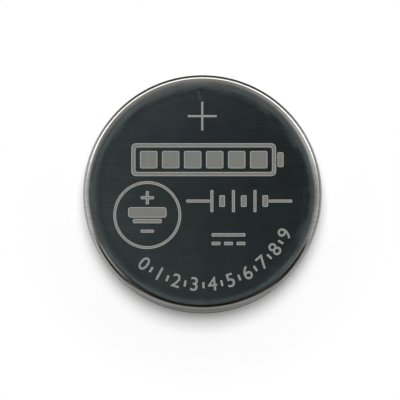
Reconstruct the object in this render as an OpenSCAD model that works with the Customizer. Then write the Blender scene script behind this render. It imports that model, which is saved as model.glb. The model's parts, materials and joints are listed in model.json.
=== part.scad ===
// Lithium coin cell: a drawn can and a stepped cap, crimped together over a plastic gasket
// Millimetres. Z = 0 is the negative contact face, and the positive face is on top.

/* [Cell] */
// Diameter over the can
cell_d = 20; // [18:0.1:24]
// Height from the negative contact to the positive face
cell_h = 2.5; // [2.3:0.05:4]

/* [Positive can] */
// Sheet thickness of the can
can_t = 0.25; // [0.15:0.01:0.3]
// Radius round the edge of the positive face, outside
edge_r = 0.7; // [0.5:0.05:0.9]
// Radius of the rim that is rolled in round the negative side, outside
rim_r = 0.9; // [0.8:0.05:0.95]
// Angle through which the rim is rolled, in degrees
roll_angle = 115; // [95:1:120]
// Height of the rolled rim over the negative contact
rim_rise = 0.2; // [0.15:0.01:0.25]

/* [Negative cap] */
// Sheet thickness of the cap
cap_t = 0.25; // [0.15:0.01:0.28]
// Distance from the outside of the can to the wall of the cap
cap_inset = 1.55; // [1.5:0.05:1.8]
// Radius round the edge of the negative contact, outside
shoulder_r = 0.4; // [0.35:0.05:0.5]
// Radius in the corner between the cap's wall and its ledge
ledge_in_r = 0.2; // [0.1:0.02:0.24]
// Radius round the outer edge of the ledge, outside
ledge_out_r = 0.35; // [0.3:0.05:0.6]

/* [Gasket] */
// Thickness between the wall of the can and the wall of the cap
gasket_side = 0.35; // [0.25:0.01:0.45]
// Thickness clamped between the rolled rim and the ledge
gasket_clamp = 0.3; // [0.25:0.01:0.4]
// Thickness under the edge of the cap, on the floor of the can
gasket_base = 0.3; // [0.15:0.01:0.4]
// Thickness of the leg inside the cap
leg_t = 0.3; // [0.2:0.01:0.4]
// Height of the leg inside the cap
leg_h = 0.65; // [0.3:0.05:0.75]
// Width of the bead that shows between the rolled rim and the cap
bead_w = 0.25; // [0.2:0.01:0.3]
// How far the bead stands out past the rolled rim
bead_proud = 0.06; // [0.02:0.01:0.1]
// Radius round the bead's outer edge
bead_round = 0.12; // [0.05:0.01:0.15]

/* [Active pieces] */
// Thickness of the lithium disc
anode_t = 0.5; // [0.3:0.05:0.7]
// Gap round the lithium disc, inside the cap's wall
anode_play = 0.5; // [0.3:0.05:1]
// Thickness of the separator
separator_t = 0.15; // [0.08:0.01:0.2]
// Height of the separator's turned-up skirt
separator_h = 0.85; // [0.5:0.05:1.2]
// Gap round the separator, inside the cap's wall
separator_play = 0.1; // [0.05:0.01:0.3]
// Gap between the separator's skirt and the cathode pellet
cathode_play = 0.05; // [0.02:0.01:0.2]
// Chamfer on the upper edge of the cathode pellet
cathode_chamfer = 0.2; // [0.1:0.05:0.4]

/* [Collector mesh] */
// Thickness of the collector
mesh_t = 0.1; // [0.05:0.01:0.15]
// How far the collector's edge lies in from the pellet's
mesh_inset = 0.9; // [0.6:0.1:3]
// Length of a diamond from point to point, centre to centre
mesh_long = 2; // [1.8:0.1:3]
// Width of a diamond, centre to centre
mesh_short = 1.2; // [1.1:0.1:1.8]
// Width of a strand
mesh_strand = 0.2; // [0.12:0.01:0.3]
// Plain edge round the mesh
mesh_edge = 0.3; // [0.2:0.05:0.6]

/* [Hidden] */
$fn = 96;
cell_r = cell_d / 2;

// The can: face, edge bend, wall and rolled rim
floor_z = cell_h - can_t;
edge_at = [cell_r - edge_r, cell_h - edge_r];
rim_at = [cell_r - rim_r, rim_rise + rim_r];

// The cap: contact, shoulder, wall, ledge and edge
cap_wall_r = cell_r - cap_inset;
contact_r = cap_wall_r - shoulder_r;
ledge_z = rim_rise + can_t + gasket_clamp;
ledge_at = [cap_wall_r + ledge_in_r, ledge_z - ledge_in_r];
cap_edge_r = cell_r - can_t - gasket_side;
cap_edge_z = floor_z - gasket_base;
turn_at = [cap_edge_r - ledge_out_r, ledge_z + ledge_out_r];

// The gasket's leg and bead
leg_r = cap_edge_r - cap_t - leg_t;
leg_z = cap_edge_z - leg_h;
bead_r = cap_wall_r + bead_w;
bead_z = rim_rise - bead_proud;

// The stack: cap, lithium, separator, pellet, collector, can
separator_z = cap_t + anode_t;
pellet_z = separator_z + separator_t;
mesh_z = floor_z - mesh_t;
anode_r = cap_wall_r - cap_t - anode_play;
separator_r = cap_wall_r - cap_t - separator_play;
pellet_r = separator_r - separator_t - cathode_play;
mesh_r = pellet_r - mesh_inset;

// Slice of a disc between two angles, up to a quarter turn
module pie(at, r, from, to) {
    translate(at) intersection() {
        circle(r);
        polygon([[0, 0], 2 * r * [cos(from), sin(from)], 2 * r * [cos(to), sin(to)]]);
    }
}

// Bend in a sheet of thickness t, with its outer radius r
module bend(at, r, t, from, to) {
    difference() {
        pie(at, r, from, to);
        translate(at) circle(r - t);
    }
}

// Rectangle between two corners
module block(low, high) {
    translate(low) square(high - low);
}

// Half section of the can, from the axis outwards
module can_section() {
    block([0, floor_z], [edge_at.x, cell_h]);
    bend(edge_at, edge_r, can_t, 0, 90);
    block([cell_r - can_t, rim_at.y], [cell_r, edge_at.y]);
    bend(rim_at, rim_r, can_t, -90, 0);
    bend(rim_at, rim_r, can_t, -roll_angle, -90);
}

// Half section of the cap
module cap_section() {
    block([0, 0], [contact_r, cap_t]);
    bend([contact_r, shoulder_r], shoulder_r, cap_t, -90, 0);
    block([cap_wall_r - cap_t, shoulder_r], [cap_wall_r, ledge_at.y]);
    bend(ledge_at, ledge_in_r + cap_t, cap_t, 90, 180);
    block([ledge_at.x, ledge_z], [turn_at.x, ledge_z + cap_t]);
    bend(turn_at, ledge_out_r, cap_t, -90, 0);
    block([cap_edge_r - cap_t, turn_at.y], [cap_edge_r, cap_edge_z]);
}

// Half section inside the can, out to the middle of its sheet, with the bead
module can_room() {
    block([0, rim_at.y], [cell_r - can_t / 2, edge_at.y]);
    block([0, edge_at.y], [edge_at.x, cell_h - can_t / 2]);
    pie(edge_at, edge_r - can_t / 2, 0, 90);
    pie(rim_at, rim_r - can_t / 2, -90, 0);
    block([0, rim_rise + can_t / 2], [rim_at.x, rim_at.y]);
    block([0, bead_z + bead_round], [bead_r, rim_at.y]);
    block([0, bead_z], [bead_r - bead_round, rim_at.y]);
    pie([bead_r - bead_round, bead_z + bead_round], bead_round, -90, 0);
}

// Half section of the gasket: what the can and the cap leave of that room,
// with a leg that reaches down inside the cap
module gasket_section() {
    difference() {
        can_room();
        can_section();
        cap_section();
        block([0, 0], [cap_wall_r - cap_t / 2, leg_z]);
        difference() {
            block([0, ledge_at.y], [ledge_at.x, leg_z]);
            translate(ledge_at) circle(ledge_in_r + cap_t / 3);
        }
        block([0, ledge_z + cap_t / 2], [cap_edge_r - cap_t / 2, leg_z]);
        block([0, ledge_z + cap_t / 2], [leg_r, cell_h]);
    }
}

module positive_can() {
    color("silver") rotate_extrude() can_section();
}

module gasket() {
    color("whitesmoke") rotate_extrude() gasket_section();
}

module negative_cap() {
    color("lightgray") rotate_extrude() cap_section();
}

module lithium_anode() {
    color("gainsboro") translate([0, 0, cap_t]) cylinder(r = anode_r, h = anode_t);
}

// Shallow cup that the cathode pellet sits in
module separator() {
    color("white") rotate_extrude() {
        block([0, separator_z], [separator_r, pellet_z]);
        block([separator_r - separator_t, separator_z], [separator_r, separator_z + separator_h]);
    }
}

module cathode_pellet() {
    color("dimgray") rotate_extrude() polygon([[0, pellet_z], [pellet_r, pellet_z],
        [pellet_r, mesh_z - cathode_chamfer], [pellet_r - cathode_chamfer, mesh_z], [0, mesh_z]]);
}

// Expanded metal: diamonds in staggered rows, kept where they lie whole inside the edge
module collector_mesh() {
    half = [(mesh_long - mesh_strand * norm([mesh_long, mesh_short]) / mesh_short) / 2,
        (mesh_short - mesh_strand * norm([mesh_long, mesh_short]) / mesh_long) / 2];
    rows = ceil(mesh_r / mesh_short) * 2;
    columns = ceil(mesh_r / mesh_long);
    room = mesh_r - mesh_edge;
    color("darkgray") translate([0, 0, mesh_z]) linear_extrude(mesh_t) difference() {
        circle(mesh_r);
        for (row = [-rows:rows], column = [-columns:columns]) {
            at = [(column + (row % 2 == 0 ? 0 : 0.5)) * mesh_long, row * mesh_short / 2];
            reach = norm([abs(at.x) + half.x, at.y]);
            if (max(reach, norm([at.x, abs(at.y) + half.y])) < room)
                translate(at) polygon([[-half.x, 0], [0, -half.y], [half.x, 0], [0, half.y]]);
        }
    }
}

positive_can();
gasket();
negative_cap();
lithium_anode();
separator();
cathode_pellet();
collector_mesh();
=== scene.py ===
import json
import math

import bmesh
import bpy
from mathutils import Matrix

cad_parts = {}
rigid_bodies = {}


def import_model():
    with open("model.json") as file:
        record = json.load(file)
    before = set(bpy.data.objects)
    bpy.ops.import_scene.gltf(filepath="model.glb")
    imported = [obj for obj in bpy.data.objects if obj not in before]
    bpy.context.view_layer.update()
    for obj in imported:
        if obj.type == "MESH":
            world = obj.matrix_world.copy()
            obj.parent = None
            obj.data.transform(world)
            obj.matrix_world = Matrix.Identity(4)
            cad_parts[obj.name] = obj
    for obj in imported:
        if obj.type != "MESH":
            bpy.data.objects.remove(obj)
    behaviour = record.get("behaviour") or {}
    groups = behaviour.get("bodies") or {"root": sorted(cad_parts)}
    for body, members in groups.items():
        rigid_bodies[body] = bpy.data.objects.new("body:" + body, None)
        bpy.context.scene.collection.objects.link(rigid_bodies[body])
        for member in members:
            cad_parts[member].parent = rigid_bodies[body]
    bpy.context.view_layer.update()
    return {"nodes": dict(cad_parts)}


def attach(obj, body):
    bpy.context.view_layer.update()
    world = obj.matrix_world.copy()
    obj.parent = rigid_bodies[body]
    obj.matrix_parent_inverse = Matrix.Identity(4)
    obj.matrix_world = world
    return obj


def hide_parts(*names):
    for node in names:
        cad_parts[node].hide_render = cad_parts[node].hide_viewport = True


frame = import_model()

mm = 0.001  # every size below is in millimetres, and Blender's are in metres
print("loaded", len(frame["nodes"]), "solids")


class Wire:
    # one socket of a node tree, or the bare tree, so that maths on it reads as Python
    def __init__(self, owner, socket=None):
        self.owner, self.socket = owner, socket

    def node(self, kind, settings=None, inputs=None, output=0):
        # a node by its type: settings first, then the values or links of its sockets
        node = self.owner.nodes.new(kind)
        for name, value in (settings or {}).items():
            setattr(node, name, value)
        for name, value in (inputs or {}).items():
            if isinstance(value, Wire):
                self.owner.links.new(value.socket, node.inputs[name])
            elif node.inputs[name].type == "RGBA":
                node.inputs[name].default_value = (*value, 1)
            else:
                node.inputs[name].default_value = value
        if output is None:
            return [Wire(self.owner, socket) for socket in node.outputs]
        return Wire(self.owner, node.outputs[output]) if len(node.outputs) else None

    def maths(self, operation, *values):
        return self.node("ShaderNodeMath", {"operation": operation}, dict(enumerate(values)))

    def __add__(self, other):
        return self.maths("ADD", self, other)

    def __radd__(self, other):
        return self.maths("ADD", other, self)

    def __sub__(self, other):
        return self.maths("SUBTRACT", self, other)

    def __rsub__(self, other):
        return self.maths("SUBTRACT", other, self)

    def __mul__(self, other):
        return self.maths("MULTIPLY", self, other)

    def __rmul__(self, other):
        return self.maths("MULTIPLY", other, self)

    def __truediv__(self, other):
        return self.maths("DIVIDE", self, other)

    def __rtruediv__(self, other):
        return self.maths("DIVIDE", other, self)

    def __pow__(self, other):
        return self.maths("POWER", self, other)

    def __rpow__(self, other):
        return self.maths("POWER", other, self)

    def __abs__(self):
        return self.maths("ABSOLUTE", self)


def larger(first, second):
    return first.maths("MAXIMUM", first, second)


def ease(value, low, high, level=1):
    # 0 below low, level above high, and a smooth step between
    share = value.node("ShaderNodeMapRange", {"interpolation_type": "SMOOTHSTEP"},
                       {0: value, 1: low, 2: high})
    return share if level == 1 else share * level


def window(value, riseFrom, riseTo, fallFrom, fallTo, level=1):
    # level between riseTo and fallFrom, and 0 outside the other two
    share = ease(value, riseFrom, riseTo) * (1 - ease(value, fallFrom, fallTo))
    return share if level == 1 else share * level


def mixColour(factor, first, second):
    return factor.node("ShaderNodeMix", {"data_type": "RGBA"}, {0: factor, 6: first, 7: second}, 2)


def split(vector):
    return vector.node("ShaderNodeSeparateXYZ", None, {0: vector}, None)


def stretched(vector, scale, turn=0.0):
    # coordinates turned about Z, then multiplied along each axis
    turned = vector.node("ShaderNodeVectorRotate", {"rotation_type": "Z_AXIS"},
                         {"Vector": vector, "Angle": turn})
    return vector.node("ShaderNodeVectorMath", {"operation": "MULTIPLY"}, {0: turned, 1: scale})


def noise(vector, scale=1.0, detail=2.0, roughness=0.5):
    inputs = {"Vector": vector, "Scale": scale, "Detail": detail, "Roughness": roughness}
    return vector.node("ShaderNodeTexNoise", None, inputs)


def bump(height, depth, strength=1.0):
    # depth is in millimetres
    inputs = {"Height": height, "Distance": depth * mm, "Strength": strength}
    return height.node("ShaderNodeBump", None, inputs)


def scratches(place, turn, length, width, amount):
    # thin straight lines in one direction; a smaller amount leaves fewer
    lines = noise(stretched(place, (1 / length, 1 / width, 1 / length), turn), 1.0, 1.0)
    return ease(lines, 0.78 - amount, 0.84 - amount)


def newMaterial(name):
    # the material, its tree, and its coordinates in millimetres
    material = bpy.data.materials.new(name)
    material.use_nodes = True
    material.node_tree.nodes.clear()
    tree = Wire(material.node_tree)
    place = tree.node("ShaderNodeTexCoord", None, None, "Object")
    place = tree.node("ShaderNodeVectorMath", {"operation": "SCALE"}, {0: place, "Scale": 1 / mm})
    return material, tree, place


def finishMaterial(tree, tint, rough, normal, metallic=0.0, sheen=0.0):
    surface = tree.node("ShaderNodeBsdfPrincipled", None, {
        "Base Color": tint, "Roughness": rough, "Normal": normal, "Metallic": metallic,
        "Sheen Weight": sheen})
    tree.node("ShaderNodeOutputMaterial", None, {"Surface": surface})


# brush and ringLines are how dense lines are along X, Y and Z; scratches are turn, length, width, amount
canFinish = {"tint": (0.65, 0.652, 0.64), "shade": (0.53, 0.535, 0.53), "cool": (0.52, 0.56, 0.60),
             "smudge": (0.47, 0.465, 0.46), "stainAndSheen": (0.71, 0.675, 0.64), "cloudShare": 0.5,
             "brush": (0.5, 28, 1), "broadBrush": (0.12, 4.5, 1), "ringLines": (0.5, 0.5, 24),
             "roughness": 0.085, "brushRoughness": 0.06, "mottleRoughness": 0.02,
             "scratchRoughness": 0.08, "hazeRoughness": 0.23, "rubRoughness": 0.14,
             "faceHeight": (2.3, 2.46), "faceEdge": (9.3, 9.6), "nearRim": (8.2, 9.3),
             "hazeUp": (-7.0, 1.0), "stainAndSheenUp": (-3.0, 4.0), "ripple": 15.0, "depth": 0.0006,
             "scratches": [(0.35, 3.2, 0.035, 0.0), (-1.1, 2.1, 0.03, -0.01), (1.75, 4.0, 0.03, -0.015)]}
rubbedSpot = {"across": (1.55, 1.72, 1.8, 1.98), "up": (7.6, 7.9, 8.4, 8.9), "slant": 0.25}


def makeCanSteel():
    # brushed along X on the face, drawn round the wall, hazy where hands rub the edge
    look = canFinish
    material, tree, place = newMaterial("canSteel")
    x, y, z = split(place)
    radius = (x * x + y * y) ** 0.5
    onFace = ease(z, *look["faceHeight"]) * (1 - ease(radius, *look["faceEdge"]))
    fine = noise(stretched(place, look["brush"]), 1.0, 3.0)
    broad = noise(stretched(place, look["broadBrush"], 0.01), 1.0, 2.0)
    ringLines = noise(stretched(place, look["ringLines"]), 1.0, 3.0)
    grain = fine * onFace + ringLines * (1 - onFace)
    inputs = {"X": x / radius * 4, "Y": y / radius * 4, "Z": radius}
    alongRim = tree.node("ShaderNodeCombineXYZ", None, inputs)
    cloud = noise(alongRim, 0.9, 4.0, 0.6)
    mottle = noise(place, 5.0, 3.0, 0.6)
    nearRim = ease(radius, *look["nearRim"]) * onFace
    haze = nearRim * ease(cloud, 0.42, 0.64) * (0.3 + ease(y, *look["hazeUp"], 0.7))
    marks = sum(scratches(place, *line) for line in look["scratches"])
    rough = look["roughness"] + (grain - 0.5) * look["brushRoughness"] + mottle * look["mottleRoughness"]
    rough = rough + haze * look["hazeRoughness"] + marks * look["scratchRoughness"]
    rough = rough + rubbed(place, x, y) * look["rubRoughness"]
    tint = mixColour(ease(broad * 0.6 + grain * 0.4, 0.3, 0.7), look["shade"], look["tint"])
    drift = ease(noise(place, 0.22, 2.0, 0.5), 0.38, 0.62)
    tint = mixColour(drift * onFace * look["cloudShare"], tint, look["cool"])
    smudge = ease(noise(place, 0.5, 4.0, 0.6), 0.42, 0.6)
    tint = mixColour(smudge * onFace * look["cloudShare"], tint, look["smudge"])
    # a warm patchy tint near the rim, painted lighter only on the back half, towards the lamp: partly a stain
    # and partly a painted sheen of the light there
    stainAndSheen = nearRim * ease(noise(alongRim, 1.7, 3.0, 0.6), 0.35, 0.7)
    tint = mixColour(stainAndSheen * ease(y, *look["stainAndSheenUp"]), tint, look["stainAndSheen"])
    ripple = (cloud + mottle * 0.35) * (nearRim + onFace * 0.06) * look["ripple"]
    normal = bump(grain * 0.5 + marks * -0.3 + ripple, look["depth"])
    finishMaterial(tree, tint, rough, normal, 1.0)
    return material


def rubbed(place, x, y):
    # a small rubbed spot above the plus sign
    across = window(x + y * rubbedSpot["slant"], *rubbedSpot["across"])
    return across * window(y, *rubbedSpot["up"]) * ease(noise(place, 4.0, 2.0), 0.3, 0.6)


laserFinish = {"fill": (0.275, 0.28, 0.26), "edge": (0.63, 0.63, 0.605), "dark": 0.72, "pitch": 0.1,
               "metallic": 0.35, "roughness": 0.46, "speckRoughness": 0.12, "depth": 0.004,
               "fillHatch": 0.45, "edgeHatch": 0.12}


def makeLaserMark(name, tint, hatching):
    # matte burnt steel, hatched at 45 degrees by the laser's passes
    look = laserFinish
    material, tree, place = newMaterial(name)
    x, y, z = split(place)
    across = (x + y) * (math.tau / look["pitch"] / math.sqrt(2))
    hatch = (across.maths("SINE", across) * 0.5 + 0.5) * hatching
    patch = noise(place, 3.2, 3.0, 0.6)
    speck = noise(place, 22.0, 2.0, 0.6)
    dark = tuple(look["dark"] * value for value in tint)
    shade = mixColour(ease(hatch + patch * 0.7 + speck * 0.5, 0.35, 1.05), dark, tint)
    rough = look["roughness"] + speck * look["speckRoughness"]
    finishMaterial(tree, shade, rough, bump(hatch + speck * 0.4, look["depth"], 0.6), look["metallic"])
    return material


# rub is the worn bend and a faint ring left by a contact spring
capFinish = {"tint": (0.71, 0.71, 0.69), "shade": (0.46, 0.46, 0.45), "roughness": 0.23,
             "grainRoughness": 0.16, "cloudRoughness": 0.08, "rubRoughness": 0.09,
             "scratchRoughness": 0.1, "depth": 0.006, "contactEdge": (8.0, 8.2),
             "rubEdge": (7.7, 8.05, 8.1, 8.3), "rubRing": (2.3, 2.7, 2.9, 3.4),
             "rolling": (0.35, 7, 1), "ringLines": (0.5, 0.5, 26),
             "scratches": [(0.8, 2.6, 0.05, 0.015), (-0.5, 3.6, 0.045, 0.01), (1.9, 4.2, 0.05, 0.01)]}


def makeCapSteel():
    # satin stamped steel: fine pits, turned lines in the bends and a few scratches
    look = capFinish
    material, tree, place = newMaterial("capSteel")
    x, y, z = split(place)
    radius = (x * x + y * y) ** 0.5
    onContact = 1 - ease(radius, *look["contactEdge"])
    pits = noise(place, 5.0, 4.0, 0.7)
    fine = noise(stretched(place, look["rolling"], 0.3), 1.0, 5.0, 0.7)
    ringLines = noise(stretched(place, look["ringLines"]), 1.0, 3.0)
    grain = (fine * 0.5 + pits * 0.5) * onContact + ringLines * (1 - onContact)
    cloud = noise(place, 0.45, 4.0, 0.6)
    marks = sum(scratches(place, *line) for line in look["scratches"])
    rub = window(radius, *look["rubEdge"]) + window(radius, *look["rubRing"]) * ease(cloud, 0.4, 0.6)
    rough = look["roughness"] + (grain - 0.5) * look["grainRoughness"] + cloud * look["cloudRoughness"]
    rough = rough - rub * look["rubRoughness"] + marks * look["scratchRoughness"]
    tint = mixColour(ease(cloud * 0.25 + grain * 0.75, 0.38, 0.62), look["shade"], look["tint"])
    finishMaterial(tree, tint, rough, bump(grain + marks * -0.8 + rub * -0.4, look["depth"]), 1.0)
    return material


gasketFinish = {"streak": (0.72, 0.72, 0.67), "tint": (0.86, 0.86, 0.82), "roughness": 0.36, "depth": 0.004}


def makeGasketPlastic():
    # milky moulded polypropylene with soft flow streaks round the ring
    material, tree, place = newMaterial("gasketPlastic")
    streak = noise(stretched(place, (0.35, 0.35, 3.0)), 1.0, 3.0)
    grain = noise(place, 18.0, 3.0, 0.6)
    tint = mixColour(ease(streak, 0.3, 0.7), gasketFinish["streak"], gasketFinish["tint"])
    rough = gasketFinish["roughness"] + grain * 0.16
    finishMaterial(tree, tint, rough, bump(grain, gasketFinish["depth"], 0.5))
    return material


lithiumFinish = {"tint": (0.66, 0.67, 0.68), "tarnish": (0.44, 0.43, 0.46), "roughness": 0.42, "depth": 0.006}


def makeLithiumMetal():
    # dull rolled foil with a grey-violet tarnish
    material, tree, place = newMaterial("lithiumMetal")
    rolled = noise(stretched(place, (0.2, 9.0, 1), 0.1), 1.0, 4.0)
    tarnish = noise(place, 0.8, 5.0, 0.65)
    tint = mixColour(ease(tarnish, 0.4, 0.72), lithiumFinish["tint"], lithiumFinish["tarnish"])
    rough = lithiumFinish["roughness"] + rolled * 0.16 + tarnish * 0.12
    finishMaterial(tree, tint, rough, bump(rolled, lithiumFinish["depth"], 0.6), 0.85)
    return material


# fibres are how dense they are along X, Y and Z, and their turn
feltFinish = {"tint": (0.88, 0.88, 0.86), "gaps": (0.74, 0.74, 0.71), "roughness": 0.82, "depth": 0.012,
              "sheen": 0.15, "fibres": [((1.2, 16, 3), 0.4), ((1.2, 18, 3), -0.7), ((1.1, 17, 3), 1.6)]}


def makeSeparatorFelt():
    # white nonwoven: crossed fibres a few hundredths of a millimetre wide
    material, tree, place = newMaterial("separatorFelt")
    first, second, third = [noise(stretched(place, *fibre), 1.0, 2.0) for fibre in feltFinish["fibres"]]
    body = ease(larger(larger(first, second), third), 0.42, 0.68)
    tint = mixColour(body, feltFinish["gaps"], feltFinish["tint"])
    rough = feltFinish["roughness"] + body * 0.1
    finishMaterial(tree, tint, rough, bump(body, feltFinish["depth"], 0.8), 0.0, feltFinish["sheen"])
    return material


powderFinish = {"tint": (0.028, 0.028, 0.031), "burnished": (0.07, 0.07, 0.075), "roughness": 0.72,
                "grain": 11.0, "depth": 0.02}


def makeCathodePowder():
    # pressed black powder: grains, pits and greyer burnished spots
    material, tree, place = newMaterial("cathodePowder")
    inputs = {"Vector": place, "Scale": powderFinish["grain"]}
    grains = tree.node("ShaderNodeTexVoronoi", None, inputs, "Distance")
    dust = noise(place, 30.0, 3.0, 0.7)
    worn = noise(place, 1.1, 4.0, 0.6)
    spots = ease(worn * 0.6 + dust * 0.4, 0.42, 0.68)
    tint = mixColour(spots, powderFinish["tint"], powderFinish["burnished"])
    rough = powderFinish["roughness"] + dust * 0.2
    finishMaterial(tree, tint, rough, bump(grains + dust * 0.5, powderFinish["depth"], 0.7))
    return material


collectorFinish = {"shade": (0.46, 0.47, 0.47), "tint": (0.58, 0.59, 0.59), "roughness": 0.28, "depth": 0.005}


def makeCollectorSteel():
    # slit and stretched sheet, brighter along its strands' sheared edges
    material, tree, place = newMaterial("collectorSteel")
    shear = noise(stretched(place, (7, 7, 0.5)), 1.0, 3.0)
    cloud = noise(place, 0.7, 4.0, 0.6)
    bright = ease(shear * 0.5 + cloud * 0.5, 0.35, 0.65)
    tint = mixColour(bright, collectorFinish["shade"], collectorFinish["tint"])
    rough = collectorFinish["roughness"] + shear * 0.2
    finishMaterial(tree, tint, rough, bump(shear, collectorFinish["depth"], 0.6), 1.0)
    return material


canSteel = makeCanSteel()
laserFill = makeLaserMark("laserFill", laserFinish["fill"], laserFinish["fillHatch"])
laserEdge = makeLaserMark("laserEdge", laserFinish["edge"], laserFinish["edgeHatch"])
capSteel = makeCapSteel()
innerMaterials = {"gasket": makeGasketPlastic(), "lithium_anode": makeLithiumMetal(),
                  "separator": makeSeparatorFelt(), "cathode_pellet": makeCathodePowder(),
                  "collector_mesh": makeCollectorSteel()}
print("made", len(bpy.data.materials), "materials")


def newTree(name, sockets):
    # a geometry tree with named inputs, and the wires of its own input sockets
    group = bpy.data.node_groups.new(name, "GeometryNodeTree")
    group.interface.new_socket("Geometry", in_out="OUTPUT", socket_type="NodeSocketGeometry")
    for label, kind in sockets.items():
        group.interface.new_socket(label, in_out="INPUT", socket_type="NodeSocket" + kind)
    tree = Wire(group)
    given = tree.node("NodeGroupInput", None, None, None)
    return tree, given[:len(sockets)]


def endTree(tree, geometry, material):
    geometry = tree.node("GeometryNodeRealizeInstances", None, {"Geometry": geometry})
    geometry = tree.node("GeometryNodeSetMaterial", None, {"Geometry": geometry, "Material": material})
    tree.node("NodeGroupOutput", None, {0: geometry})


def plainMesh(source, tree=None, values=None):
    # a plain mesh from a curve or a text, or from what a geometry tree makes of a mesh
    helper = bpy.data.objects.new("helper", source)
    bpy.context.scene.collection.objects.link(helper)
    if tree:
        modifier = helper.modifiers.new("tree", "NODES")
        modifier.node_group = tree.owner
        for item in tree.owner.interface.items_tree:
            if item.in_out == "INPUT" and item.name in values:
                modifier[item.identifier] = values[item.name]
    graph = bpy.context.evaluated_depsgraph_get()
    mesh = bpy.data.meshes.new_from_object(helper.evaluated_get(graph))
    helper.modifiers.clear()
    bpy.data.objects.remove(helper)
    return mesh


weldDistance = 0.0004


def placed(name, mesh, smooth):
    # welds a mesh, turns its faces outwards and puts it in the scene at the origin
    work = bmesh.new()
    work.from_mesh(mesh)
    bmesh.ops.remove_doubles(work, verts=work.verts, dist=weldDistance * mm)
    bmesh.ops.recalc_face_normals(work, faces=work.faces)
    for face in work.faces:
        face.smooth = smooth
    work.to_mesh(mesh)
    work.free()
    mesh.name = name
    piece = bpy.data.objects.new(name, mesh)
    bpy.context.scene.collection.objects.link(piece)
    return piece


# bendStep is in degrees; nearEnd and endShare set how close the first point lies to the end of a straight
turning = {"segments": 480, "bendStep": 3.5, "pathRadius": 10.0, "spacing": 1.2, "closeSpacing": 0.3,
           "insideSpacing": 3.0, "nearEnd": 0.012, "endShare": 0.3, "shortest": 0.0008}


def bendPoints(centre, radius, start, end):
    # points of an arc, in degrees from the outward direction
    count = max(2, math.ceil(abs(end - start) / turning["bendStep"]))
    angles = [math.radians(start + (end - start) * step / count) for step in range(count + 1)]
    return [(centre[0] + radius * math.cos(a), centre[1] + radius * math.sin(a)) for a in angles]


def straightPoints(start, end, spacing=turning["spacing"]):
    # points of a straight stretch, with one just inside each end so that the shading stays flat
    length = math.dist(start, end)
    count = max(1, round(length / spacing))
    near = min(turning["nearEnd"] / length, turning["endShare"])
    shares = sorted({0.0, near, 1 - near, 1.0, *(step / count for step in range(1, count))})
    return [tuple(a + (b - a) * share for a, b in zip(start, end)) for share in shares]


def joined(*stretches):
    points = []
    for stretch in stretches:
        for point in stretch:
            if not points or math.dist(points[-1], point) > turning["shortest"]:
                points.append(point)
    return points


# a section swept round a circle
turnTree, (profileIn, pathIn, segmentsIn, materialIn) = newTree("turnedSheet", {
    "Geometry": "Geometry", "Path Radius": "Float", "Segments": "Int", "Material": "Material"})
profileCurve = turnTree.node("GeometryNodeMeshToCurve", None, {"Mesh": profileIn})
pathCurve = turnTree.node("GeometryNodeCurvePrimitiveCircle", None, {
    "Resolution": segmentsIn, "Radius": pathIn})
turnedMesh = turnTree.node("GeometryNodeCurveToMesh", None, {
    "Curve": pathCurve, "Profile Curve": profileCurve})
endTree(turnTree, turnedMesh, materialIn)


def makeTurned(name, points, material):
    # revolves a section given as (radius, height) points in millimetres
    path = turning["pathRadius"]
    profile = bpy.data.meshes.new(name + "Section")
    profile.from_pydata([((r - path) * mm, -z * mm, 0) for r, z in points],
                        [(i, i + 1) for i in range(len(points) - 1)], [])
    values = {"Path Radius": path * mm, "Segments": turning["segments"], "Material": material}
    return placed(name, plainMesh(profile, turnTree, values), True)


# roll, crownSlope, tipOut and tipIn are in degrees, the last two where the sheet's faces end before its edge
canSize = {"radius": 10.0, "height": 2.5, "sheet": 0.25, "edge": 0.7, "rim": 0.9, "roll": 115, "rise": 0.2,
           "crownFrom": 8.75, "crownSlope": 5.0, "crownSteps": 10, "markDepth": 0.008, "tipOut": 1.5,
           "tipIn": 2, "tipShares": (0.12, 0.5, 0.88)}


def canSection():
    # the face falls away a little before its edge bend, as on a drawn cup
    radius, sheet, roll = canSize["radius"], canSize["sheet"], canSize["roll"]
    faceZ = canSize["height"] - canSize["markDepth"]
    bendFrom = radius - canSize["edge"]
    slope = math.radians(canSize["crownSlope"])
    run = bendFrom - canSize["crownFrom"]
    shares = [step / canSize["crownSteps"] for step in range(canSize["crownSteps"] + 1)]
    crown = [(canSize["crownFrom"] + run * share, faceZ - run * math.tan(slope) / 2 * share ** 2)
             for share in shares]
    outer = canSize["edge"] / (1 - math.sin(slope))
    outerAt = (radius - outer, crown[-1][1] - outer * math.cos(slope))
    rimAt = (radius - canSize["rim"], canSize["rise"] + canSize["rim"])
    innerAt = (bendFrom, canSize["height"] - canSize["edge"])
    tip = bendPoints(rimAt, canSize["rim"], 0, canSize["tipOut"] - roll)
    back = bendPoints(rimAt, canSize["rim"] - sheet, canSize["tipIn"] - roll, 0)
    return joined(
        straightPoints((0, faceZ), crown[0]), crown,
        bendPoints(outerAt, outer, 90 - canSize["crownSlope"], 0),
        straightPoints((radius, outerAt[1]), (radius, rimAt[1]), turning["closeSpacing"]), tip,
        sheetEdge(tip[-1], back[0], rimAt, -roll), back,
        straightPoints((radius - sheet, rimAt[1]), (radius - sheet, innerAt[1]), turning["closeSpacing"]),
        bendPoints(innerAt, canSize["edge"] - sheet, 0, 90),
        straightPoints((bendFrom, canSize["height"] - sheet), (0, canSize["height"] - sheet),
                       turning["insideSpacing"]))


def sheetEdge(outside, inside, centre, angle):
    # the sheared end of the sheet between its two faces, with its corners taken off
    a = math.radians(angle)
    far, near = math.dist(centre, outside), math.dist(centre, inside)
    reaches = [far * (1 - share) + near * share for share in canSize["tipShares"]]
    return [(centre[0] + reach * math.cos(a), centre[1] + reach * math.sin(a)) for reach in reaches]


capSize = {"wall": 8.45, "sheet": 0.25, "shoulder": 0.4, "ledgeZ": 0.75, "cornerIn": 0.2, "cornerOut": 0.35,
           "edge": 9.4, "top": 1.95, "edgeCut": 0.03}


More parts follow.
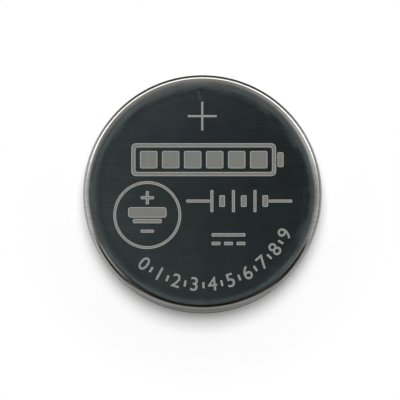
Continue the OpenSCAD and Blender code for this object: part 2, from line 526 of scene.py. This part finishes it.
def capSection():
    # from the contact's middle out to the cap's turned-up edge, and back along the inside
    wall, sheet, ledgeZ, cut = capSize["wall"], capSize["sheet"], capSize["ledgeZ"], capSize["edgeCut"]
    outer, inner, top = capSize["edge"], capSize["edge"] - sheet, capSize["top"]
    shoulderAt = (wall - capSize["shoulder"], capSize["shoulder"])
    cornerAt = (wall + capSize["cornerIn"], ledgeZ - capSize["cornerIn"])
    turnAt = (outer - capSize["cornerOut"], ledgeZ + capSize["cornerOut"])
    return joined(
        straightPoints((0, 0), (shoulderAt[0], 0)),
        bendPoints(shoulderAt, capSize["shoulder"], -90, 0),
        straightPoints((wall, shoulderAt[1]), (wall, cornerAt[1])),
        bendPoints(cornerAt, capSize["cornerIn"], 180, 90),
        straightPoints((cornerAt[0], ledgeZ), (turnAt[0], ledgeZ)),
        bendPoints(turnAt, capSize["cornerOut"], -90, 0),
        straightPoints((outer, turnAt[1]), (outer, top - cut)),
        [(outer - cut, top), (inner + cut, top)],
        straightPoints((inner, top - cut), (inner, turnAt[1])),
        bendPoints(turnAt, capSize["cornerOut"] - sheet, 0, -90),
        straightPoints((turnAt[0], ledgeZ + sheet), (cornerAt[0], ledgeZ + sheet)),
        bendPoints(cornerAt, capSize["cornerIn"] + sheet, 90, 180),
        straightPoints((wall - sheet, cornerAt[1]), (wall - sheet, shoulderAt[1])),
        bendPoints(shoulderAt, capSize["shoulder"] - sheet, 0, -90),
        straightPoints((shoulderAt[0], sheet), (0, sheet), turning["insideSpacing"]))


canShell = makeTurned("can_shell", canSection(), canSteel)
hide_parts("positive_can")
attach(canShell, "root")
capShell = makeTurned("cap_shell", capSection(), capSteel)
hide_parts("negative_cap")
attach(capShell, "root")
print("turned the can and the cap:", len(canShell.data.polygons) + len(capShell.data.polygons), "faces")

for nodeName, material in innerMaterials.items():
    solid = frame["nodes"][nodeName]
    solid.data.materials.clear()
    solid.data.materials.append(material)


# border is how wide a mark's pale edge is; the marks start at bottom, inside the can's sheet
markSize = {"border": 0.05, "leastCorner": 0.012, "edgeTop": 2.4975, "fillTop": 2.5, "bottom": 2.47,
            "cornerSteps": 5, "circleSteps": 120}


def shifted(point, towards, distance):
    length = math.dist(point, towards)
    return tuple(a + (b - a) * distance / length for a, b in zip(point, towards))


def softened(points, radius):
    # rounds each corner of a closed outline
    outline = []
    for i, corner in enumerate(points):
        start = shifted(corner, points[i - 1], radius)
        end = shifted(corner, points[(i + 1) % len(points)], radius)
        for step in range(markSize["cornerSteps"] + 1):
            t = step / markSize["cornerSteps"]
            outline.append(tuple((1 - t) ** 2 * a + 2 * t * (1 - t) * b + t * t * c
                                 for a, b, c in zip(start, corner, end)))
    return outline


def bar(x, y, width, height, corner, inset):
    # a negative inset widens it, for a hole
    w, h = width / 2 - inset, height / 2 - inset
    corner = max(corner - inset, markSize["leastCorner"])
    return softened([(x - w, y - h), (x + w, y - h), (x + w, y + h), (x - w, y + h)], corner)


def cross(x, y, length, stroke, corner, inset):
    a, b = length / 2 - inset, stroke / 2 - inset
    corner = max(corner - inset, markSize["leastCorner"])
    points = [(b, b), (b, a), (-b, a), (-b, b), (-a, b), (-a, -b), (-b, -b), (-b, -a), (b, -a), (b, -b),
              (a, -b), (a, b)]
    return softened([(x + px, y + py) for px, py in points], corner)


def circle(x, y, radius):
    angles = [math.tau * step / markSize["circleSteps"] for step in range(markSize["circleSteps"])]
    return [(x + radius * math.cos(a), y + radius * math.sin(a)) for a in angles]


def raised(curve, top):
    # a thin closed plate from the marks' bottom to the given top
    curve.extrude = (top - markSize["bottom"]) * mm / 2
    mesh = plainMesh(curve)
    for vertex in mesh.vertices:
        vertex.co.z += (top + markSize["bottom"]) * mm / 2
    return mesh


def filledMesh(outlines, top):
    # an outline inside another one is a hole
    curve = bpy.data.curves.new("outline", "CURVE")
    curve.dimensions, curve.fill_mode = "2D", "BOTH"
    for outline in outlines:
        spline = curve.splines.new("POLY")
        spline.points.add(len(outline) - 1)
        for point, (x, y) in zip(spline.points, outline):
            point.co = (x * mm, y * mm, 0, 1)
        spline.use_cyclic_u = True
    return raised(curve, top)


# a shape repeated along X from its first place
rowTree, (rowShape, rowCount, rowPitch, rowMaterial) = newTree("markRow", {
    "Geometry": "Geometry", "Count": "Int", "Pitch": "Float", "Material": "Material"})
rowStep = rowTree.node("ShaderNodeCombineXYZ", None, {"X": rowPitch})
rowPoints = rowTree.node("GeometryNodeMeshLine", None, {"Count": rowCount, "Offset": rowStep})
rowOfShapes = rowTree.node("GeometryNodeInstanceOnPoints", None, {"Points": rowPoints, "Instance": rowShape})
endTree(rowTree, rowOfShapes, rowMaterial)

# numbers and ticks set round an arc, their tops towards the centre
dialTree, (_, dialShapes, dialCount, dialRadius, dialStart, dialStep, dialMaterial) = newTree("markDial", {
    "Geometry": "Geometry", "Shapes": "Collection", "Count": "Int", "Radius": "Float", "Start": "Float",
    "Step": "Float", "Material": "Material"})
shapeList = dialTree.node("GeometryNodeCollectionInfo", None, {
    "Collection": dialShapes, "Separate Children": True, "Reset Children": True})
dialPoints = dialTree.node("GeometryNodeMeshLine", None, {"Count": dialCount})
index = dialTree.node("GeometryNodeInputIndex")
angle = dialStart + index * dialStep
dialPlace = dialTree.node("ShaderNodeCombineXYZ", None, {
    "X": angle.maths("COSINE", angle) * dialRadius, "Y": angle.maths("SINE", angle) * dialRadius})
dialPoints = dialTree.node("GeometryNodeSetPosition", None, {"Geometry": dialPoints, "Position": dialPlace})
dialTurn = dialTree.node("ShaderNodeCombineXYZ", None, {"Z": angle + math.pi / 2})
numberRing = dialTree.node("GeometryNodeInstanceOnPoints", None, {
    "Points": dialPoints, "Instance": shapeList, "Pick Instance": True, "Instance Index": index,
    "Rotation": dialTurn})
endTree(dialTree, numberRing, dialMaterial)

# x and y are a mark's middle, or its first plate's; bars are height over it, width, height and corner
plusMark = {"x": -0.02, "y": 6.46, "length": 2.41, "stroke": 0.16, "corner": 0.035}
gaugeMark = {"x": 0.1, "y": 2.8, "width": 12.1, "height": 2.75, "line": 0.34, "corner": 0.45,
             "innerCorner": 0.2, "nub": 0.5, "nubHeight": 1.25, "nubGap": 0.12, "cells": 6, "cell": 1.45,
             "cellCorner": 0.16, "pitch": 1.84}
ringMark = {"x": -4.61, "y": -1.84, "radius": 2.72, "stroke": 0.22, "plusUp": 1.45, "plus": 1.1,
            "plusStroke": 0.24, "plusCorner": 0.06,
            "bars": [(0.22, 3.2, 0.86, 0.26), (-0.5, 2.4, 0.36, 0.12), (-1.35, 1.1, 0.24, 0.06)]}
platesMark = {"x": 0.78, "y": -0.67, "pairs": 3, "pitch": 1.8, "tall": 1.84, "thin": 0.24, "thinCorner": 0.07,
              "short": 0.96, "thick": 0.46, "thickCorner": 0.09, "gap": 0.86, "lead": 1.95, "leadGap": 0.06,
              "leadCorner": 0.06}
currentMark = {"x": 2.17, "y": -3.5, "width": 2.8, "stroke": 0.27, "corner": 0.07, "dashes": 3,
               "dash": 0.72, "drop": 0.72}
dialMark = {"numbers": 10, "size": 1.62, "radius": 7.7, "start": 230.5, "step": 11.45, "thicken": 0.004,
            "insetShare": 0.9, "tick": 0.5, "tickWidth": 0.17, "tickCorner": 0.05}


def stillOutlines(inset):
    # outlines of the marks that don't repeat
    plus, g, r, p, c = plusMark, gaugeMark, ringMark, platesMark, currentMark
    nubX = g["x"] + g["width"] / 2 + g["nubGap"] + g["nub"] / 2
    leadReach = p["lead"] / 2 + p["leadGap"]
    leftLead = p["x"] - p["thin"] / 2 - leadReach
    rightLead = p["x"] + (p["pairs"] - 1) * p["pitch"] + p["gap"] + p["thick"] / 2 + leadReach
    return [
        cross(plus["x"], plus["y"], plus["length"], plus["stroke"], plus["corner"], inset),
        bar(g["x"], g["y"], g["width"], g["height"], g["corner"], inset),
        bar(g["x"], g["y"], g["width"] - 2 * g["line"], g["height"] - 2 * g["line"], g["innerCorner"],
            -inset),
        bar(nubX, g["y"], g["nub"], g["nubHeight"], g["cellCorner"], inset),
        circle(r["x"], r["y"], r["radius"] + r["stroke"] / 2 - inset),
        circle(r["x"], r["y"], r["radius"] - r["stroke"] / 2 + inset),
        cross(r["x"], r["y"] + r["plusUp"], r["plus"], r["plusStroke"], r["plusCorner"], inset),
        *(bar(r["x"], r["y"] + up, width, height, corner, inset) for up, width, height, corner in r["bars"]),
        bar(leftLead, p["y"], p["lead"], p["thin"], p["leadCorner"], inset),
        bar(rightLead, p["y"], p["lead"], p["thin"], p["leadCorner"], inset),
        bar(c["x"], c["y"], c["width"], c["stroke"], c["corner"], inset)]


def repeatedMeshes(inset, top, material):
    # gauge cells, plates and dashes, each a row of one outline
    g, p, c = gaugeMark, platesMark, currentMark
    firstCell = g["x"] - (g["cells"] - 1) * g["pitch"] / 2
    firstDash = c["x"] - c["width"] / 2 + c["dash"] / 2
    dashPitch = (c["width"] - c["dash"]) / (c["dashes"] - 1)
    rows = [
        ((firstCell, g["y"], g["cell"], g["cell"], g["cellCorner"]), g["cells"], g["pitch"]),
        ((p["x"], p["y"], p["thin"], p["tall"], p["thinCorner"]), p["pairs"], p["pitch"]),
        ((p["x"] + p["gap"], p["y"], p["thick"], p["short"], p["thickCorner"]), p["pairs"], p["pitch"]),
        ((firstDash, c["y"] - c["drop"], c["dash"], c["stroke"], c["corner"]), c["dashes"], dashPitch)]
    return [plainMesh(filledMesh([bar(*sizes, inset)], top), rowTree,
                      {"Count": count, "Pitch": pitch * mm, "Material": material})
            for sizes, count, pitch in rows]


def dialMeshes(inset, top, material):
    # the numbers 0 to 9, and a tick half way between each two
    d = dialMark
    digits = []
    for number in range(d["numbers"]):
        text = bpy.data.curves.new("digit", "FONT")
        text.body, text.size = str(number), d["size"] * mm
        text.align_x, text.align_y = "CENTER", "CENTER"
        text.offset = (d["thicken"] - inset * d["insetShare"]) * mm
        digits.append(raised(text, top))
    tick = filledMesh([bar(0, 0, d["tickWidth"], d["tick"], d["tickCorner"], inset)], top)
    meshes = []
    for shapes, count, start in ((digits, d["numbers"], d["start"]),
                                 ([tick], d["numbers"] - 1, d["start"] + d["step"] / 2)):
        group = bpy.data.collections.new("dialShapes")
        for number, shape in enumerate(shapes):
            group.objects.link(bpy.data.objects.new(f"dialShape{number}", shape))
        values = {"Shapes": group, "Count": count, "Radius": d["radius"] * mm, "Start": math.radians(start),
                  "Step": math.radians(d["step"]), "Material": material}
        meshes.append(plainMesh(bpy.data.meshes.new("empty"), dialTree, values))
        for helper in list(group.objects):
            bpy.data.objects.remove(helper)
        bpy.data.collections.remove(group)
    return meshes


def makeMarks(name, inset, top, material):
    work = bmesh.new()
    still = filledMesh(stillOutlines(inset), top)
    for mesh in [still, *repeatedMeshes(inset, top, material), *dialMeshes(inset, top, material)]:
        work.from_mesh(mesh)
    whole = bpy.data.meshes.new(name)
    work.to_mesh(whole)
    work.free()
    whole.materials.append(material)
    piece = placed(name, whole, False)
    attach(piece, "root")


makeMarks("mark_outlines", 0.0, markSize["edgeTop"], laserEdge)
makeMarks("mark_fills", markSize["border"], markSize["fillTop"], laserFill)
print("marked the face")


# what the metal sees of the floor: each card darkens or lights it between two places, by its last number
floorLook = {"size": 1.2, "tint": 0.78, "lift": 0.215, "fade": (12.0, 17.5), "underCell": (9.0, 9.1),
             "inMetal": 0.5, "farDrop": (18.0, 60.0, 0.2), "backCard": (0.3, 0.95, 0.9),
             "backCardEnd": (16.0, 23.0, 0.7), "frontCard": (0.6, 1.0, 0.45), "left": (0.7, 1.0),
             "leftFar": (15.0, 25.0, 0.4), "right": (0.86, 0.97), "rightCard": (15.0, 18.0, 24.0, 30.0, 0.8)}


def makeFloor():
    # white to the camera with the shadow kept, grey in reflections, and open from below
    look = floorLook
    s = look["size"] / 2
    mesh = bpy.data.meshes.new("floor")
    mesh.from_pydata([(-s, -s, 0), (s, -s, 0), (s, s, 0), (-s, s, 0)], [], [(0, 1, 2, 3)])
    floor = bpy.data.objects.new("floor", mesh)
    bpy.context.scene.collection.objects.link(floor)
    material, tree, place = newMaterial("paleFloor")
    x, y, z = split(place)
    radius = (x * x + y * y) ** 0.5
    north, east = y / radius, x / radius
    camera, shadow, diffuse, glossy, *_ = tree.node("ShaderNodeLightPath", None, None, None)
    card = 1 - ease(north, *look["backCard"]) * (1 - ease(radius, *look["backCardEnd"]))
    card = card * (1 - ease(north * -1, *look["frontCard"]))
    inMetal = card * (look["inMetal"] - ease(radius, *look["farDrop"]))
    inMetal = inMetal + ease(east * -1, *look["left"]) * ease(radius, *look["leftFar"])
    inMetal = inMetal * (1 - ease(east, *look["right"]) * window(radius, *look["rightCard"]))
    grey = tree.node("ShaderNodeCombineColor", None, {0: inMetal, 1: inMetal, 2: inMetal})
    tint = mixColour(camera, grey, (look["tint"],) * 3)
    lit = tree.node("ShaderNodeBsdfDiffuse", None, {"Color": tint})
    lift = tree.node("ShaderNodeEmission", None, {"Strength": camera * look["lift"]})
    near = tree.node("ShaderNodeAddShader", None, {0: lit, 1: lift})
    far = tree.node("ShaderNodeEmission", None, {"Strength": camera + (1 - camera) * inMetal})
    surface = tree.node("ShaderNodeMixShader", None, {0: ease(radius, *look["fade"]), 1: near, 2: far})
    clear = tree.node("ShaderNodeBsdfTransparent")
    backFace = tree.node("ShaderNodeNewGeometry", None, None, "Backfacing")
    crossed = tree.node("ShaderNodeLightPath", None, None, "Transparent Depth")
    passes = larger(larger(backFace, ease(crossed, 0.0, 0.5)), larger(shadow, diffuse))
    passes = larger(passes, glossy * (1 - ease(radius, *look["underCell"])))
    surface = tree.node("ShaderNodeMixShader", None, {0: passes, 1: surface, 2: clear})
    tree.node("ShaderNodeOutputMaterial", None, {"Surface": surface})
    mesh.materials.append(material)


# the studio as the metal sees it, by direction: x to the right, y to the back, z up, all from -1 to 1;
# each entry is where it starts and ends, then its level; patches are x, y, inside, outside, how much darker
ceilingLook = {"level": 0.0195, "left": (-0.05, 0.05, 0.037), "front": (-0.085, -0.03, 0.013),
               "ring": (0.095, 0.15, 0.18, 0.3, 0.055), "middle": (0.045, 0.06, 0.07, 0.082, 0.013),
               "middleEnd": (0.004, 0.016), "darkBelt": (0.09, 0.1, 0.105, 0.118, 0.3),
               "patches": [(0.02, 0.112, 0.008, 0.03, 0.6), (-0.045, 0.085, 0.004, 0.045, -0.35)],
               "frontDark": (0.2, 0.35, 0.8), "frontLine": (0.0, 0.035, 0.07, 0.13, 0.06)}


def ceilingLight(x, y, flat):
    # dim, so that the face looks dark, with the faint light and dark places that it shows
    look = ceilingLook
    ceiling = look["level"] + ease(x * -1, *look["left"]) + ease(y * -1, *look["front"])
    ceiling = ceiling + window(flat, *look["ring"])
    ceiling = ceiling + window(y, *look["middle"]) * (1 - ease(x, *look["middleEnd"]))
    ceiling = ceiling * (1 - window(y, *look["darkBelt"]))
    for patchX, patchY, inside, outside, darker in look["patches"]:
        away = ((x - patchX) ** 2 + (y - patchY) ** 2) ** 0.5
        ceiling = ceiling * (1 - (1 - ease(away, inside, outside)) * darker)
    ceiling = ceiling * (1 - ease(y * -1, *look["frontDark"]))
    return ceiling + window(y * -1, *look["frontLine"])


# gaps are the dark stripes at the two front corners: side, height and strength
wallLook = {"right": 0.5, "rightPower": 1.5, "rightEnd": (-0.75, -0.2), "back": 0.33, "backFrom": 0.1,
            "backPower": 0.8, "left": (0.65, 0.9, 0.42), "leftEnd": (-0.5, -0.15),
            "front": (0.67, 0.82, 0.34), "frontLow": (0.92, 0.985, 0.45), "leftHigh": (0.25, 0.5, 0.055),
            "rightBack": (0.55, 0.85, 0.2), "rightBackSide": (0.1, 0.45), "rightBackLow": (0.17, 0.65),
            "corners": (-0.75, -0.6, -0.42, -0.3), "cornerSide": (0.25, 0.4),
            "cornerHeight": (0.5, 0.6, 0.78, 0.88, 0.26), "bandHeight": (-0.08, 0.02, 0.2, 0.3),
            "band": 0.03, "bandBack": (0.15, 0.55, 1.8), "bandSides": (0.75, 1.0, 0.12),
            "gapSide": (0.2, 0.4), "rightGap": (0.22, 0.3, 0.62, 0.72, 0.95),
            "leftGap": (0.08, 0.17, 0.44, 0.52, 0.665)}


def wallLight(x, y, z, flat):
    # pale soft boxes behind and at the sides, and a bright band low behind the cell
    look = wallLook
    north, east = y / flat, x / flat
    light = larger(x, 0.0) ** look["rightPower"] * ease(y, *look["rightEnd"]) * look["right"]
    light = light + larger(y - look["backFrom"], 0.0) ** look["backPower"] * look["back"]
    light = light + ease(x * -1, *look["left"]) * ease(north, *look["leftEnd"])
    light = light + ease(y * -1, *look["front"]) * (1 - ease(y * -1, *look["frontLow"]))
    light = light + ease(x * -1, *look["leftHigh"])
    onSide = ease(north, *look["rightBackSide"]) * ease(flat, *look["rightBackLow"])
    light = light + ease(east, *look["rightBack"]) * onSide
    corner = window(north, *look["corners"])
    light = light + corner * ease(x * -1, *look["cornerSide"]) * window(z, *look["cornerHeight"])
    band = ease(north, *look["bandBack"]) + ease(abs(east), *look["bandSides"]) + look["band"]
    light = light + window(z, *look["bandHeight"]) * band
    rightGap = ease(x, *look["gapSide"]) * window(z, *look["rightGap"])
    leftGap = ease(x * -1, *look["gapSide"]) * window(z, *look["leftGap"])
    return light * (1 - corner * (rightGap + leftGap))


lowerLook = {"level": 0.17, "boxX": -0.1, "boxY": 0.06, "boxSize": (0.1, 0.42), "box": 0.62,
             "side": (0.6, 0.95, 0.35), "sideShare": (-0.6, 0.6), "sideLeast": 0.5}


def lowerLight(x, y, flat):
    # for views from below: a soft box under the cell and paler sides
    look = lowerLook
    away = ((x - look["boxX"]) ** 2 + (y - look["boxY"]) ** 2) ** 0.5
    light = look["level"] + (1 - ease(away, *look["boxSize"])) * look["box"]
    return light + ease(flat, *look["side"]) * (look["sideLeast"] + ease(x, *look["sideShare"]))


# skyFill and floorFill are the plain light on matte surfaces from above and below
studio = {"skyFill": 0.13, "floorFill": 0.85, "cool": (0.80, 1.0, 1.03), "warm": (1.0, 0.99, 0.955),
          "warmFrom": (0.15, 0.5), "horizon": (-0.1, 0.1), "reflectedHorizon": (-0.08, 0.0)}


def makeWorld():
    # white behind everything, and the studio in reflections
    world = bpy.data.worlds.new("studio")
    bpy.context.scene.world = world
    world.use_nodes = True
    world.node_tree.nodes.clear()
    tree = Wire(world.node_tree)
    x, y, z = split(tree.node("ShaderNodeTexCoord", None, None, "Generated"))
    camera, _, diffuse, *_ = tree.node("ShaderNodeLightPath", None, None, None)
    flat = (x * x + y * y + 0.000001) ** 0.5  # never quite 0, because it divides
    above = ceilingLight(x, y, flat) + wallLight(x, y, z, flat)
    below = lowerLight(x, y, flat)
    inMetal = below + ease(z, *studio["reflectedHorizon"]) * (above - below)
    up = ease(z, *studio["horizon"])
    warm = larger(ease(flat, *studio["warmFrom"]), 1 - up)
    tint = mixColour(warm, studio["cool"], studio["warm"])
    fill = studio["floorFill"] + up * (studio["skyFill"] - studio["floorFill"])
    strength = camera + (1 - camera) * (diffuse * fill + (1 - diffuse) * inMetal)
    tint = mixColour(larger(camera, diffuse), tint, (1.0, 1.0, 1.0))
    background = tree.node("ShaderNodeBackground", None, {"Color": tint, "Strength": strength})
    tree.node("ShaderNodeOutputWorld", None, {"Surface": background})


# lean is in degrees from straight above, distance and sizes are in metres
keyLamp = {"lean": 22.5, "distance": 0.6, "width": 0.38, "depth": 0.43, "level": 0.95}


def makeLamp():
    # one large soft lamp behind the plus sign; level is how bright a white floor gets from it
    lamp = bpy.data.lights.new("keyLamp", "AREA")
    lamp.shape, lamp.size, lamp.size_y = "RECTANGLE", keyLamp["width"], keyLamp["depth"]
    lean, distance = math.radians(keyLamp["lean"]), keyLamp["distance"]
    lamp.energy = keyLamp["level"] * math.pi ** 2 * distance ** 2 / math.cos(lean)
    holder = bpy.data.objects.new("keyLamp", lamp)
    holder.location = (0, distance * math.sin(lean), distance * math.cos(lean))
    holder.rotation_euler = (-lean, 0, 0)
    holder.visible_camera = holder.visible_glossy = False
    bpy.context.scene.collection.objects.link(holder)


photoCamera = {"lens": 250.0, "sensor": 36.0, "distance": 233.0, "tilt": 4.5, "aimX": -0.21, "aimY": -0.50,
               "aimZ": 1.45, "clip": (0.01, 10.0)}


def makeCamera():
    # almost straight down, leaning a little towards the numbers
    camera = bpy.data.cameras.new("photoCamera")
    camera.lens, camera.sensor_width = photoCamera["lens"], photoCamera["sensor"]
    camera.clip_start, camera.clip_end = photoCamera["clip"]
    tilt, distance = math.radians(photoCamera["tilt"]), photoCamera["distance"]
    holder = bpy.data.objects.new("photoCamera", camera)
    holder.location = (photoCamera["aimX"] * mm, (photoCamera["aimY"] - distance * math.sin(tilt)) * mm,
                       (photoCamera["aimZ"] + distance * math.cos(tilt)) * mm)
    holder.rotation_euler = (tilt, 0, 0)
    bpy.context.scene.collection.objects.link(holder)
    bpy.context.scene.camera = holder


makeFloor()
makeWorld()
makeLamp()
makeCamera()
bpy.context.scene.view_settings.view_transform = "Standard"
print("set the floor, the light and the camera")
